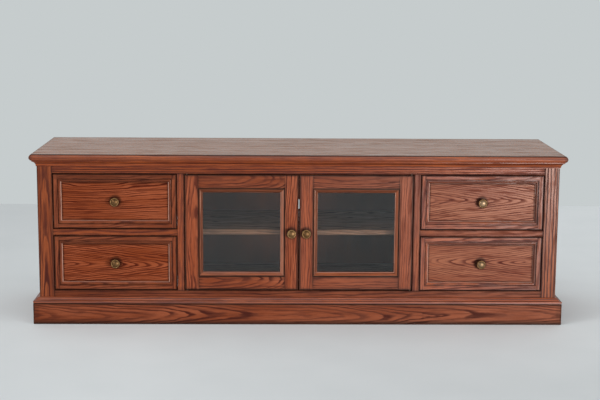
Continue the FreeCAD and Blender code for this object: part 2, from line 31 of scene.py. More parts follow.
# a small hand for wiring materials
class Shade:
    def __init__(self, name):
        self.material = bpy.data.materials.new(name)
        self.material.use_nodes = True
        self.tree = self.material.node_tree
        self.tree.nodes.clear()
        self.coords = None

    def add(self, kind, **settings):
        node = self.tree.nodes.new(kind)
        for key, value in settings.items():
            setattr(node, key, value)
        return node

    def link(self, start, end):
        self.tree.links.new(start, end)

    def feed(self, socket, value):
        if isinstance(value, bpy.types.NodeSocket):
            self.link(value, socket)
        else:
            socket.default_value = value

    def maths(self, operation, *values):
        node = self.add("ShaderNodeMath", operation=operation)
        for socket, value in zip(node.inputs, values):
            self.feed(socket, value)
        return node.outputs[0]

    def plus(self, a, b):
        return self.maths("ADD", a, b)

    def minus(self, a, b):
        return self.maths("SUBTRACT", a, b)

    def times(self, a, b):
        return self.maths("MULTIPLY", a, b)

    def timesPlus(self, a, b, c):
        return self.maths("MULTIPLY_ADD", a, b, c)

    def most(self, a, b):
        return self.maths("MAXIMUM", a, b)

    def above(self, a, b):
        return self.maths("GREATER_THAN", a, b)

    def below(self, a, b):
        return self.maths("LESS_THAN", a, b)

    def size(self, a):
        return self.maths("ABSOLUTE", a)

    def reach(self, a, b):
        return self.maths("SQRT", self.plus(self.times(a, a), self.times(b, b)))

    def split(self, kind):
        place = self.add("ShaderNodeTexCoord")
        parts = self.add("ShaderNodeSeparateXYZ")
        self.link(place.outputs[kind], parts.inputs[0])
        return list(parts.outputs)

    def axes(self):
        if self.coords is None:
            self.coords = self.split("Object")
        return self.coords

    def facing(self, axis):               # the piece's own direction, so that it turns with a door
        return self.split("Normal")[axis]

    def vector(self, a, b, c):
        node = self.add("ShaderNodeCombineXYZ")
        for socket, value in zip(node.inputs, (a, b, c)):
            self.feed(socket, value)
        return node.outputs[0]

    def noise(self, a, b, c, detail=2.0, roughness=0.5):
        node = self.add("ShaderNodeTexNoise", noise_dimensions="3D")
        self.feed(node.inputs["Vector"], self.vector(a, b, c))
        node.inputs["Scale"].default_value = 1.0
        node.inputs["Detail"].default_value = detail
        node.inputs["Roughness"].default_value = roughness
        return node.outputs[0]

    def cloud(self, place, scale, detail, roughness=0.5):
        return self.noise(*[self.times(v, scale) for v in place], detail, roughness)

    def chance(self, value):
        node = self.add("ShaderNodeTexWhiteNoise", noise_dimensions="1D")
        self.feed(node.inputs["W"], value)
        return node.outputs[0]

    def ramp(self, value, low, high, start=0.0, end=1.0):
        node = self.add("ShaderNodeMapRange", interpolation_type="SMOOTHSTEP")
        for name, level in (("Value", value), ("From Min", low), ("From Max", high),
                            ("To Min", start), ("To Max", end)):
            self.feed(node.inputs[name], level)
        return node.outputs[0]

    def blend(self, factor, a, b, mode="MIX"):
        node = self.add("ShaderNodeMix", data_type="RGBA", blend_type=mode)
        self.feed(node.inputs[0], factor)
        for socket, value in ((node.inputs[6], a), (node.inputs[7], b)):
            self.feed(socket, value if isinstance(value, bpy.types.NodeSocket) else (*value, 1.0))
        return node.outputs[2]

    def choose(self, factor, a, b):
        node = self.add("ShaderNodeMix", data_type="FLOAT")
        for socket, value in zip((node.inputs[0], node.inputs[2], node.inputs[3]), (factor, a, b)):
            self.feed(socket, value)
        return node.outputs[0]

    def corners(self, distance, inside):
        node = self.add("ShaderNodeAmbientOcclusion", samples=5, only_local=True, inside=inside)
        node.inputs["Distance"].default_value = distance
        return node.outputs["AO"]

    def finish(self, colour, roughness, height=None, depth=0.0003, strength=0.5, **plain):
        shader = self.add("ShaderNodeBsdfPrincipled")
        self.feed(shader.inputs["Base Color"], colour)
        self.feed(shader.inputs["Roughness"], roughness)
        for key, value in plain.items():
            shader.inputs[key.replace("_", " ")].default_value = value
        if height is not None:
            relief = self.add("ShaderNodeBump")
            relief.inputs["Strength"].default_value = strength
            relief.inputs["Distance"].default_value = depth
            self.feed(relief.inputs["Height"], height)
            self.link(relief.outputs[0], shader.inputs["Normal"])
        out = self.add("ShaderNodeOutputMaterial")
        self.link(shader.outputs[0], out.inputs[0])
        return self.material


def dress(node, material):
    piece = nodes[node]
    if not piece.material_slots:
        piece.data.materials.append(material)
    for slot in piece.material_slots:
        slot.link = "OBJECT"
        slot.material = material


def middle(node):
    low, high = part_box(node)
    return [(a + b) / 2 for a, b in zip(low, high)]


def halves(node):                     # half the node's size along each axis
    low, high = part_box(node)
    return [(b - a) / 2 for a, b in zip(low, high)]


def halfWidth(node, axis, board):     # from the node's middle to the middle of an outer board
    return halves(node)[axis] - board / 2


# stained oak: rings round a heart that lies behind the board's face
oak = {
    "light": (0.385, 0.0890, 0.0215),
    "middle": (0.205, 0.0366, 0.0076),
    "dark": (0.070, 0.0058, 0.0012),
    # the dark colour serves for glaze and for painted shade, the pale one for painted highlights, the faded
    # one for a painted sheen on level faces
    "darkened": (0.013, 0.0024, 0.0007),
    "paintedHighlight": (0.760, 0.450, 0.350),
    "levelSheenColour": (0.330, 0.170, 0.075),
    "roughness": 0.35,
    "shine": 0.25,
    "gloss": (1.0, 1.0, 1.0, 1.0),
    "poreDepth": 0.0004,
}


def glossed(wood, green, blue):       # the same wood under a warmer varnish
    return {**wood, "gloss": (1.0, green, blue, 1.0)}


warmOak = glossed({**oak, "light": (0.366, 0.0945, 0.0390), "middle": (0.205, 0.0380, 0.0095)}, 0.72, 0.52)
polished = {**oak, "poreDepth": 0.00008}
postWood = glossed({**polished, "light": (0.420, 0.108, 0.034)}, 0.93, 0.86)
stripWood = glossed({**oak, "light": (0.345, 0.090, 0.030), "middle": (0.190, 0.042, 0.014)}, 0.80, 0.66)
# pore-filled wood, paler and greyer: painted sheen for the right drawers' panels
sheenFilledWood = glossed({
    **oak,
    "light": (0.350, 0.118, 0.057),
    "middle": (0.205, 0.0395, 0.0115),
    "dark": (0.078, 0.0058, 0.0012),
    "poreDepth": 0.00016,
}, 0.90, 0.80)
paleWood = {
    **oak,
    "light": (0.610, 0.420, 0.235),
    "middle": (0.500, 0.320, 0.165),
    "dark": (0.330, 0.190, 0.090),
    "roughness": 0.55,
    "poreDepth": 0.0002,
}
dullWood = {
    **oak,
    "light": (0.42, 0.200, 0.112),
    "middle": (0.27, 0.117, 0.062),
    "dark": (0.09, 0.030, 0.015),
}
plyWood = {**oak, "poreDepth": 0.00003}

boardWays = {          # along the grain, across the face, into the board
    "lying": (x, z, y),
    "upright": (z, x, y),
    "sideways": (y, z, x),
    "flat": (x, y, z),
    "sideUpright": (z, y, x),
}
boardHabits = {
    "way": "lying", "fold": (0.0, 0.0), "spread": 0.0, "staves": 0.0,
    "heart": (0.0, 0.05), "lean": 0.04, "bow": 0.0, "sway": 0.006, "taper": 0.0,
    "pitch": 0.0064, "wobble": 0.0040, "contrast": 0.95, "streaks": 0.55, "pores": 0.55,
    "tone": 1.0, "tilt": 0.0,
}
mixedHabits = ("lean", "bow", "sway", "pitch", "contrast", "streaks", "pores", "tone")
apart = {"across": 3.7, "depth": 5.9, "stave": 31.0, "second": 17.0, "seed": 1.37}    # no two boards alike
layers = {             # noise: waves per metre along the grain and across it, detail, roughness
    "wave": (13.0, 55.0, 2.5, 0.5),
    "patch": (8.0, 45.0, 2.0, 0.5),
    "streak": (11.0, 120.0, 2.0, 0.5),
    "stroke": (45.0, 720.0, 2.0, 0.6),
    "cloud": (4.0, 22.0, 3.0, 0.5),
    "fibre": (13.0, 260.0, 3.0, 0.6),
}
figure = {
    "slow": 2.2, "deep": 2.7, "deepStart": 7.3, "swing": 5.0,      # how the heart wanders
    "uneven": (0.45, 3.0, 1.6),       # rings of different widths
    "earlyWood": (0.0, 0.13),         # where in a ring the dark line opens
    "lateWood": (0.64, 0.25),         # and where it fades
    "luck": (0.55, 0.65),             # some rings are darker than others
    "patchy": (0.28, 0.56, 0.32, 1.0),
    "streak": (0.50, 0.68),
    "pore": (0.53, 0.66), "poreInLine": (0.7, 0.3),
    "cloudShare": 0.65, "fibreShare": 0.45, "tint": (0.34, 0.78),
    "level": (0.93, 0.99),            # paler where it lies level: painted sheen
    "paintedEndLightReach": 0.8,
}
# glaze on the edges, and painted shade in the hollows and under ledges
glazeAndShading = {
    "rubScale": 38.0, "rubbed": (0.3, 0.68, 0.5, 1.0),
    "reach": 0.005, "edge": (0.97, 0.66, 0.0), "hollowShade": (0.75, 0.35, 0.0),
    "broadReach": 0.016, "broad": (0.97, 0.55, 0.0), "broadShare": 0.5, "broadFrom": 0.018,
    "under": (-0.15, -0.75, 0.0), "underShare": 0.7,
    "highlightShare": (0.5, 0.9, 0.75, 1.0),
}
touch = {"line": 0.28, "pore": 0.14, "sleek": 0.12, "darkened": 0.22}      # what roughens or smooths the face
relief = {"fibre": 0.25, "line": 0.4, "strength": 0.5}


def boardPlace(s, local, board):
    along, across, depth = boardWays[board["way"]]
    foldAcross, foldDepth = board["fold"]
    a, b, c = local[along], local[across], local[depth]
    turn = 0.0
    if foldAcross:
        side = s.maths("SIGN", b)
        b = s.minus(b, s.times(side, foldAcross + board["spread"]))
        turn = s.times(side, apart["across"])
    if foldDepth:
        side = s.maths("SIGN", c)
        c = s.minus(s.times(c, side), foldDepth)
        turn = s.plus(turn, s.times(side, apart["depth"]))
    if board["staves"]:
        stave = s.maths("FLOOR", s.maths("DIVIDE", b, board["staves"]))
        b = s.minus(b, s.times(s.plus(stave, 0.5), board["staves"]))
        turn = s.plus(turn, s.times(s.chance(stave), apart["stave"]))
    return (a, b, c), turn


def layBoards(s, local, main, other, where):
    place, turn = boardPlace(s, local, main)
    if where is None:
        return place, turn, main
    second = {**boardHabits, **(other or {})}      # a second lot of boards in the same node
    mask = where(s, local)
    place2, turn2 = boardPlace(s, local, second)
    place = [s.choose(mask, *pair) for pair in zip(place, place2)]
    turn = s.plus(s.choose(mask, turn, turn2), s.times(mask, apart["second"]))
    habit = {key: s.choose(mask, main[key], second[key]) if main[key] != second[key] else main[key]
             for key in mixedHabits}
    habit["heart"] = [s.choose(mask, *pair) for pair in zip(main["heart"], second["heart"])]
    return place, turn, habit


def layer(s, run, name, across=None):  # noise drawn out along the grain
    along, usual, detail, roughness = layers[name]
    across = across or usual
    far, b, c = run
    return s.noise(s.times(far, along), s.times(b, across), s.times(c, across), detail, roughness)


def ringLines(s, place, run, shift, habit, main):
    a, b, c = place
    far = run[0]
    slow = s.minus(s.noise(s.times(far, figure["slow"]), shift, 0.0, 1.0), 0.5)
    deep = s.minus(s.noise(s.times(far, figure["deep"]), shift, figure["deepStart"], 1.0), 0.5)
    wave = s.minus(layer(s, run, "wave"), 0.5)
    swing = s.times(habit["sway"], figure["swing"])
    acrossHeart = s.plus(s.minus(b, habit["heart"][0]), s.times(slow, swing))
    belowHeart = s.plus(s.plus(c, habit["heart"][1]), s.times(deep, swing))
    belowHeart = s.plus(belowHeart, s.times(a, habit["lean"]))
    belowHeart = s.plus(belowHeart, s.times(s.times(a, a), habit["bow"]))
    radius = s.plus(s.reach(acrossHeart, belowHeart), s.times(wave, main["wobble"] * 2.0))
    if main["taper"]:                 # the trunk narrows, so arches follow one another along the board
        radius = s.plus(radius, s.times(a, main["taper"]))
    rings = s.maths("DIVIDE", radius, habit["pitch"])
    scale, start, change = figure["uneven"]
    rings = s.plus(rings, s.times(s.noise(s.times(rings, scale), shift, start, 1.0), change))
    step = s.maths("FLOOR", rings)
    part = s.minus(rings, step)
    luck = s.chance(s.plus(step, shift))
    # dark early wood opens each ring and fades into the late wood
    line = s.times(s.ramp(part, *figure["earlyWood"]), s.ramp(part, *figure["lateWood"]))
    line = s.times(line, s.timesPlus(luck, *figure["luck"]))
    return s.times(line, s.ramp(layer(s, run, "patch"), *figure["patchy"]))


def glazeAndPaintedShade(s, node, hollowShade, edge):  # glaze along the edges, and painted shade in the hollows and under ledges
    glazeAndShade = s.ramp(s.corners(glazeAndShading["reach"], True), *glazeAndShading["edge"], edge)
    if 2 * min(halves(node)) > glazeAndShading["broadFrom"]:
        broad = s.corners(glazeAndShading["broadReach"], True)
        glazeAndShade = s.most(glazeAndShade, s.ramp(broad, *glazeAndShading["broad"], edge * glazeAndShading["broadShare"]))
    # painted shade: darker in the hollows and on faces turned downward
    if hollowShade:
        glazeAndShade = s.most(glazeAndShade, s.ramp(s.corners(glazeAndShading["reach"], False), *glazeAndShading["hollowShade"], hollowShade))
        glazeAndShade = s.most(glazeAndShade, s.ramp(s.facing(z), *glazeAndShading["under"], hollowShade * glazeAndShading["underShare"]))
    return glazeAndShade


def oakFinish(node, seed, board=None, other=None, where=None, hollowShade=0.8, edge=0.85, satin=None,
              shine=None, sleek=None, ownGlazeAndShade=None, highlightAt=None, levelSheen=0.0, wood=oak):
    s = Shade(node)
    local = [s.minus(v, centre) for v, centre in zip(s.axes(), middle(node))]
    main = {**boardHabits, **(board or {})}
    place, turn, habit = layBoards(s, local, main, other, where)
    tone = habit["tone"]
    if main["tilt"]:                  # painted light and shade: one end is darker than the other
        reach = figure["paintedEndLightReach"] * halves(node)[x]
        tone = s.plus(tone, s.ramp(local[x], -reach, reach, -main["tilt"], main["tilt"]))
    shift = s.plus(turn, seed * apart["seed"])
    run = (s.plus(place[0], shift), place[1], place[2])
    line = ringLines(s, place, run, shift, habit, main)
    streak = s.ramp(layer(s, run, "streak"), *figure["streak"])
    # open pores: short strokes along the grain, thickest in the early wood
    pores = s.ramp(layer(s, run, "stroke"), *figure["pore"])
    pores = s.times(pores, s.timesPlus(line, *figure["poreInLine"]))
    fibre = layer(s, run, "fibre", main.get("fibre"))
    tint = s.plus(s.times(layer(s, run, "cloud"), figure["cloudShare"]), s.times(fibre, figure["fibreShare"]))
    colour = s.blend(s.ramp(tint, *figure["tint"]), wood["middle"], wood["light"])
    for mark, strength in ((streak, "streaks"), (line, "contrast"), (pores, "pores")):
        colour = s.blend(s.times(mark, habit[strength]), colour, wood["dark"])
    colour = s.blend(1.0, colour, s.vector(tone, tone, tone), "MULTIPLY")
    # painted sheen: level faces paler
    if levelSheen:
        colour = s.blend(s.ramp(s.facing(z), *figure["level"], 0.0, levelSheen), colour, wood["levelSheenColour"])
    rubbed = s.ramp(s.cloud(local, glazeAndShading["rubScale"], 3.0), *glazeAndShading["rubbed"])
    glazeAndShade = s.times(glazeAndPaintedShade(s, node, hollowShade, edge), rubbed)
    rough = s.timesPlus(s.most(line, streak), touch["line"], satin or wood["roughness"])
    rough = s.plus(rough, s.times(s.plus(pores, s.minus(fibre, 0.5)), touch["pore"]))
    if sleek is not None:             # mouldings are rubbed smoother than the flats
        rough = s.minus(rough, s.times(sleek(s, local), touch["sleek"]))
    # painted highlight: a pale colour where an edge would catch the light
    if highlightAt is not None:
        highlightShare = s.times(highlightAt(s, local), s.ramp(rubbed, *glazeAndShading["highlightShare"]))
        colour = s.blend(highlightShare, colour, wood["paintedHighlight"])
        glazeAndShade = s.times(glazeAndShade, s.minus(1.0, highlightShare))
    if ownGlazeAndShade is not None:             # glaze and painted shade that this piece alone holds
        glazeAndShade = s.most(glazeAndShade, ownGlazeAndShade(s, local))
    colour = s.blend(glazeAndShade, colour, wood["darkened"])
    rough = s.plus(rough, s.times(glazeAndShade, touch["darkened"]))
    height = s.minus(s.times(fibre, relief["fibre"]), s.plus(pores, s.times(line, relief["line"])))
    return s.finish(colour, rough, height, wood["poreDepth"], relief["strength"],
                    Specular_IOR_Level=shine or wood["shine"], Specular_Tint=wood["gloss"])


# masks, from distances to the node's middle: where the second lot of boards lies
def nearEnds(node, width):
    half = halves(node)
    return lambda s, p: s.above(s.size(p[x]), half[x] - width)


def pastMitre(node):
    half = halves(node)
    return lambda s, p: s.below(s.minus(half[x], s.size(p[x])), s.minus(half[z], s.size(p[z])))


def roundCorner(node):                # a front strip mitred to two end strips
    half = halves(node)
    return lambda s, p: s.below(s.minus(half[x], s.size(p[x])), s.plus(p[y], half[y]))


# and where glaze and painted shade lie, and where highlights are painted
faceAhead = (-0.35, -0.75)
arris = {"inner": (-0.0030, -0.0015), "outer": (0.0006, -0.0004)}
knobShade = (0.026, 0.015, 0.0, 0.80)
openingEnd = -0.0006


def within(node, inset):              # how far inside the node's outline, less an inset
    half = halves(node)
    return lambda s, p: s.maths("MINIMUM", s.minus(half[x] - inset, s.size(p[x])),
                                s.minus(half[z] - inset, s.size(p[z])))


def outline(node, wide, narrow, strength=0.96):      # glaze and the painted shade of the gap round the piece: full on the face, thin on the edges
    def mask(s, p):
        ahead = s.ramp(s.facing(y), *faceAhead, 0.25, 1.0)
        return s.times(ahead, s.ramp(within(node, 0.0)(s, p), wide, narrow, 0.0, strength))
    return mask


def byStrip(node, left, right, top, bottom):
    def mask(s, p):
        level = s.choose(s.above(p[z], 0.0), bottom, top)
        sides = s.choose(s.above(p[x], 0.0), left, right)
        return s.choose(pastMitre(node)(s, p), level, sides)
    return mask


def innerArris(node, inset, shares):  # a painted highlight: a pale line on the inner edge of a moulding, where its bead catches the light
    def mask(s, p):
        depth = within(node, inset)(s, p)
        band = s.times(s.ramp(depth, *arris["inner"]), s.ramp(depth, *arris["outer"]))
        return s.times(band, byStrip(node, *shares)(s, p))
    return mask


def wholeStrips(node, inset, width, shares):         # some moulding strips more than others: painted shade on strips turned from the light, painted sheen on others
    def mask(s, p):
        depth = within(node, inset)(s, p)
        strip = s.times(s.above(depth, 0.0), s.below(depth, width))
        return s.times(strip, byStrip(node, *shares)(s, p))
    return mask


def innerEdge(node, inset, reach, strength):         # a dark line round the opening in a frame: glaze and painted shade in the corner by the moulding
    return lambda s, p: s.ramp(within(node, inset)(s, p), -reach, openingEnd, 0.0, strength)


def upperPart(start, end, strength):  # the upper rail stands in the shade of the top
    return lambda s, p: s.ramp(p[z], start, end, 0.0, strength)


def knobRing(node, knob):             # painted shade round the seat of a knob, where the knob shades the panel, with some glaze
    gap = [b - a for a, b in zip(middle(node), middle(knob))]
    return lambda s, p: s.ramp(s.reach(s.minus(p[x], gap[x]), s.minus(p[z], gap[z])), *knobShade)


def strongest(*masks):
    def mask(s, p):
        level = 0.0
        for each in masks:
            level = s.most(level, each(s, p))
        return level
    return mask


nose = {                              # the top's rounded edge, by how far its face turns upward
    "line": (0.60, 0.74, 0.0, 0.89), "lineTop": (0.998, 0.965),
    "corner": (0.880, 0.897, 0.0, 0.6), "cornerFront": (-0.212, -0.232),
    "lower": (0.30, 0.05), "lowerShare": (-0.7, -0.1, 0.26, 0.08),
    "highlightBand": (0.22, 0.38, 0.0, 0.09), "highlightBandTop": (0.62, 0.52),
    "dull": (0.92, 0.6, 0.0, -1.3),
}


def noseGlazeAndShade(s, p):                  # dark on its upper turn and its corners, with painted shade on its lower half, which faces down
    rise = s.facing(z)
    line = s.times(s.ramp(rise, *nose["line"]), s.ramp(rise, *nose["lineTop"]))
    corner = s.times(s.ramp(s.size(p[x]), *nose["corner"]), s.ramp(p[y], *nose["cornerFront"]))
    lower = s.times(s.ramp(rise, *nose["lower"]), s.ramp(p[x], *nose["lowerShare"]))
    return s.most(corner, s.most(line, lower))


def noseHighlight(s, p):                    # a painted highlight: a pale line below the dark one
    rise = s.facing(z)
    return s.times(s.ramp(rise, *nose["highlightBand"]), s.ramp(rise, *nose["highlightBandTop"]))


def noseDull(s, p):
    return s.ramp(s.facing(z), *nose["dull"])


posts = {"centre": 0.853, "width": 0.050, "line": (0.0080, 0.0010, 0.0, 0.60)}
midStiles = {"centre": 0.399, "line": (0.0058, 0.0010), "left": 0.30, "right": 0.62}
plinth = {"foot": (0.0220, 0.1, 0.88), "head": (0.0056, 0.4, 0.92)}      # width, its dark share, strength


def postSides(node):                  # dark lines down the edges of the posts' faces: glaze on the outer edge, painted shade of the gaps beside the drawers
    outer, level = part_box(node)[1][x], middle(node)[z]
    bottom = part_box("drawer_lower_left_front")[0][z] - level
    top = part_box("drawer_upper_left_front")[1][z] - level

    def mask(s, p):
        reach = s.size(p[x])
        beside = s.times(s.above(p[z], bottom), s.below(p[z], top))      # the drawers, not the rails
        inside = s.times(s.ramp(s.minus(reach, outer - posts["width"]), *posts["line"]), beside)
        edges = s.most(inside, s.ramp(s.minus(outer, reach), *posts["line"]))
        return s.times(edges, s.ramp(s.facing(y), *faceAhead, 0.0, 1.0))
    return mask


def stileSides(node):                 # painted shade down both edges of each stile, from the gaps beside the drawers
    centre = midStiles["centre"]
    far, near = [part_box(node)[1][x] - centre - width for width in midStiles["line"]]

    def mask(s, p):
        reach = s.size(s.minus(s.size(p[x]), centre))
        strength = s.choose(s.above(p[x], 0.0), midStiles["left"], midStiles["right"])
        return s.times(s.ramp(reach, far, near), strength)
    return mask


def plinthLines(node):                # painted shade along the foot of the plinth by the floor, and along its head under the cap
    half = halves(node)[z]

    def mask(s, p):
        lines = []
        for height, (width, share, strength) in ((s.plus(p[z], half), plinth["foot"]),
                                                 (s.minus(half, p[z]), plinth["head"])):
            lines.append(s.ramp(height, width, width * share, 0.0, strength))
        return s.most(*lines)
    return mask


carcase = {
    "top_panel": dict(
        seed=3, hollowShade=0, satin=0.17, shine=0.42, wood=polished, levelSheen=0.43,
        ownGlazeAndShade=noseGlazeAndShade, highlightAt=noseHighlight, sleek=noseDull,
        board=dict(way="flat", heart=(0.05, 0.08), lean=0.006, staves=0.097, sway=0.002, contrast=0.5,
                   wobble=0.002, streaks=0.4, tone=0.93)),
    "top_rail": dict(
        seed=14, satin=0.32, shine=0.24,
        board=dict(heart=(0.08, 0.04), lean=0.005, sway=0.002, pitch=0.0072, wobble=0.002, contrast=1.0,
                   tone=0.83)),
    "bottom_rail": dict(
        seed=12, wood=glossed(warmOak, 0.86, 0.76),
        board=dict(heart=(0.03, 0.04), lean=0.02, sway=0.004, tone=0.61)),
    "front_posts": dict(
        seed=21, edge=0.6, satin=0.30, shine=0.28, wood=postWood, ownGlazeAndShade=postSides("front_posts"),
        board=dict(way="upright", fold=(posts["centre"], 0), heart=(0.035, 0.04), spread=0.035, lean=0.04,
                   pitch=0.0078, sway=0.003, contrast=0.85, tone=0.73, tilt=-0.04),
        other=dict(way="upright", fold=(posts["centre"], 0), heart=(0.07, 0.03), lean=0.004, sway=0.001,
                   pitch=0.0115, contrast=1.9, streaks=0.5, tone=0.70),
        where=lambda s, p: s.above(p[x], 0.0)),
    "rear_posts": dict(
        seed=22, board=dict(way="upright", fold=(posts["centre"], 0), heart=(0.02, 0.05), tone=0.84)),
    "mid_stiles": dict(
        seed=23, shine=0.32, ownGlazeAndShade=stileSides("mid_stiles"),
        board=dict(way="upright", fold=(midStiles["centre"], 0), heart=(0.03, 0.05), contrast=0.5, tone=0.92,
                   tilt=-0.09)),
    "drawer_rails": dict(
        seed=24, board=dict(heart=(0.02, 0.05), lean=0.02, contrast=0.7, tone=0.80, tilt=-0.08)),
    "side_panels": dict(
        seed=31, board=dict(way="sideUpright", fold=(0, 0.866), heart=(0.0, 0.05), lean=0.05, staves=0.118)),
    "side_rails": dict(
        seed=33, board=dict(way="sideways", fold=(0.2055, 0.866), heart=(0.01, 0.05), tone=0.9)),
    # the boards inside: dark stain, made darker still as painted shade of the closed interior
    "partitions": dict(
        seed=41, edge=0.3, board=dict(way="sideUpright", fold=(0, 0.401), staves=0.11, tone=0.45)),
    "bottom_panel": dict(
        seed=42, edge=0.2, board=dict(way="flat", staves=0.12, tone=0.40)),
    "shelf": dict(
        seed=43, edge=0.1, wood=dullWood, board=dict(way="flat", staves=0.10, heart=(0.0, 0.07), tone=0.95)),
    # the back panel is lighter towards the right: painted light
    "back_panel": dict(
        seed=44, edge=0.0, hollowShade=0, wood=plyWood,
        board=dict(way="upright", heart=(0.0, 0.16), lean=0.03, contrast=0.25, streaks=0.1, pores=0.0,
                   fibre=40.0, tone=0.318, tilt=0.068)),
    "rear_rails": dict(seed=45, edge=0.2, board=dict(tone=0.6)),
    "plinth_bearers": dict(seed=46, edge=0.2, board=dict(way="sideways", tone=0.6)),
    "slide_battens": dict(seed=47, edge=0.2, board=dict(way="sideways", tone=0.7)),
    "top_blocks": dict(seed=48, edge=0.2, board=dict(tone=0.7)),
}
for node, look in carcase.items():
    dress(node, oakFinish(node, **look))

wrapped = {                           # a front piece and two end pieces, mitred together
    "cornice": dict(
        seed=5, hollowShade=0.60, edge=0.2, satin=0.28, wood=polished,
        board=dict(heart=(0.09, 0.04), lean=0.004, sway=0.002, pitch=0.0066, wobble=0.002, tone=0.92,
                   tilt=-0.09)),
    "plinth_cap": dict(
        seed=6, hollowShade=0.5, edge=0.2, satin=0.30, shine=0.75, wood=polished,
        board=dict(heart=(0.08, 0.05), lean=0.006, sway=0.002, wobble=0.002, contrast=0.8, tone=0.90)),
    "plinth_boards": dict(
        seed=8, hollowShade=0, edge=0.85, wood=glossed(warmOak, 0.84, 0.70), ownGlazeAndShade=plinthLines("plinth_boards"),
        board=dict(heart=(-0.004, 0.022), lean=0.004, taper=0.06, sway=0.006, pitch=0.0075,
                   contrast=0.9, streaks=0.4, tone=0.66, tilt=-0.05)),
}
for node, look in wrapped.items():
    look["board"]["fold"] = (0, halfWidth(node, y, 0))
    side = {**look["board"], "way": "sideways", "fold": (0, halfWidth(node, x, 0))}
    dress(node, oakFinish(node, other=side, where=roundCorner(node), **look))
print("carcase finished")

drawers = {
    "border": 0.0155,
    "moulding": 0.0275,
    "seed": 51,
    "frame": dict(heart=(0.02, 0.04), lean=0.05, streaks=0.35, contrast=0.8),
    "frontTone": {"left": 0.87, "right": 0.89},
    # painted shade: the right fronts darker towards their right end
    "frontPaintedEndLight": {"left": 0.0, "right": -0.14},
    "frontShine": {"left": 0.25, "right": 0.42},
    "frontGrain": {"left": glossed(warmOak, 0.84, 0.70), "right": oak},
    "frontLine": (0.0060, 0.0010),
    "upperBand": (0.070, 0.078),
    "upperShade": {"upper_left": 0.44, "lower_left": 0.30, "upper_right": 0.0, "lower_right": 0.0},
    # for the left, right, top and bottom strip of the moulding: painted highlights on the inner edge, painted
    # shade on whole strips
    "paintedHighlight": {"left": (0.75, 0.85, 0.0, 0.35), "right": (0.65, 0.0, 0.0, 0.28)},
    "shaded": {"left": (0.0, 0.15, 0.5, 0.0), "right": (0.0, 0.64, 0.52, 0.0)},
    "upper_left": dict(heart=(0.085, 0.035), lean=0.02, bow=0.25, sway=0.008, contrast=1.0, tone=0.86),
    "lower_left": dict(heart=(-0.005, 0.016), lean=0.02, taper=0.11, sway=0.008, contrast=1.0, tone=0.89),
    "upper_right": dict(heart=(0.004, 0.016), lean=0.02, taper=0.13, sway=0.005, contrast=0.95,
                        pitch=0.0066, tone=0.80),
    "lower_right": dict(heart=(0.006, 0.018), lean=-0.02, taper=-0.13, sway=0.006, contrast=0.95,
                        pitch=0.0066, tone=0.77),
    "shine": {"upper_left": 0.16, "lower_left": 0.16, "upper_right": 0.265, "lower_right": 0.235},
    # the right panels take the paler wood: painted sheen
    "grain": {"left": warmOak, "right": sheenFilledWood},
    "panelLine": (0.0075, 0.0015, 0.0, 0.60),
    "box": dict(heart=(0.0, 0.12), tone=0.94, streaks=0.2, contrast=0.5),
    "boxBoard": 0.012,
    "tails": dict(pitch=0.0375, root=0.010, slope=1 / 7),
}


def frontStiles(node):                # the upright boards and the upright moulding strips
    def mask(s, p):
        strips = s.times(nearEnds(node, drawers["moulding"])(s, p), pastMitre(node)(s, p))
        return s.most(nearEnds(node, drawers["border"])(s, p), strips)
    return mask


def boxSides(node):                   # the side boards and the tails on their ends
    half = halves(node)
    tails, board = drawers["tails"], drawers["boxBoard"]

    def mask(s, p):
        side = s.above(s.size(p[x]), half[x] - board)
        out = s.minus(s.size(p[y]), half[y] - board)
        rise = s.minus(s.plus(p[z], half[z]), tails["pitch"] / 2)
        tail = s.below(s.maths("PINGPONG", rise, tails["pitch"] / 2),
                       s.timesPlus(out, tails["slope"], tails["root"]))
        return s.times(side, s.most(tail, s.below(out, 0.0)))
    return mask


def dressFront(node, seed, name, end):
    border, moulding = drawers["border"], drawers["moulding"]
    board = {**drawers["frame"], "tone": drawers["frontTone"][end], "tilt": drawers["frontPaintedEndLight"][end]}
    rail = {**board, "fold": (halfWidth(node, z, moulding), 0)}
    stile = {**board, "way": "upright", "fold": (halfWidth(node, x, moulding), 0)}
    # glaze and painted shade: the gap round the front, strips turned from the light and the top's shadow on
    # the upper rail
    dark = strongest(outline(node, *drawers["frontLine"]),
                     wholeStrips(node, border, moulding - border, drawers["shaded"][end]),
                     upperPart(*drawers["upperBand"], drawers["upperShade"][name]))
    dress(node, oakFinish(node, seed, rail, stile, frontStiles(node), hollowShade=0.45, edge=0.6,
                          shine=drawers["frontShine"][end], wood=drawers["frontGrain"][end], ownGlazeAndShade=dark,
                          highlightAt=innerArris(node, moulding, drawers["paintedHighlight"][end]),
                          sleek=lambda s, p: s.above(within(node, border)(s, p), 0.0)))


def dressPanel(node, seed, name, end):
    front, knob = f"drawer_{name}_front", f"drawer_{name}_knob"
    rim = within(front, drawers["moulding"])
    # painted shade where the panel meets the moulding and round the knob's seat, with glaze
    dark = strongest(lambda s, p: s.ramp(rim(s, p), *drawers["panelLine"]), knobRing(node, knob))
    dress(node, oakFinish(node, seed, drawers[name], hollowShade=0.5, edge=0.55, shine=drawers["shine"][name],
                          wood=drawers["grain"][end], ownGlazeAndShade=dark))


for turn, name in enumerate(("upper_left", "lower_left", "upper_right", "lower_right")):
    end, seed = name.split("_")[1], drawers["seed"] + 7 * turn
    dressFront(f"drawer_{name}_front", seed, name, end)
    dressPanel(f"drawer_{name}_panel", seed + 3, name, end)
    box = f"drawer_{name}_box"
    dress(box, oakFinish(box, seed + 4, drawers["box"], dict(way="sideways"), boxSides(box),
                         edge=0.0, hollowShade=0.0, wood=paleWood))
print("drawers finished")

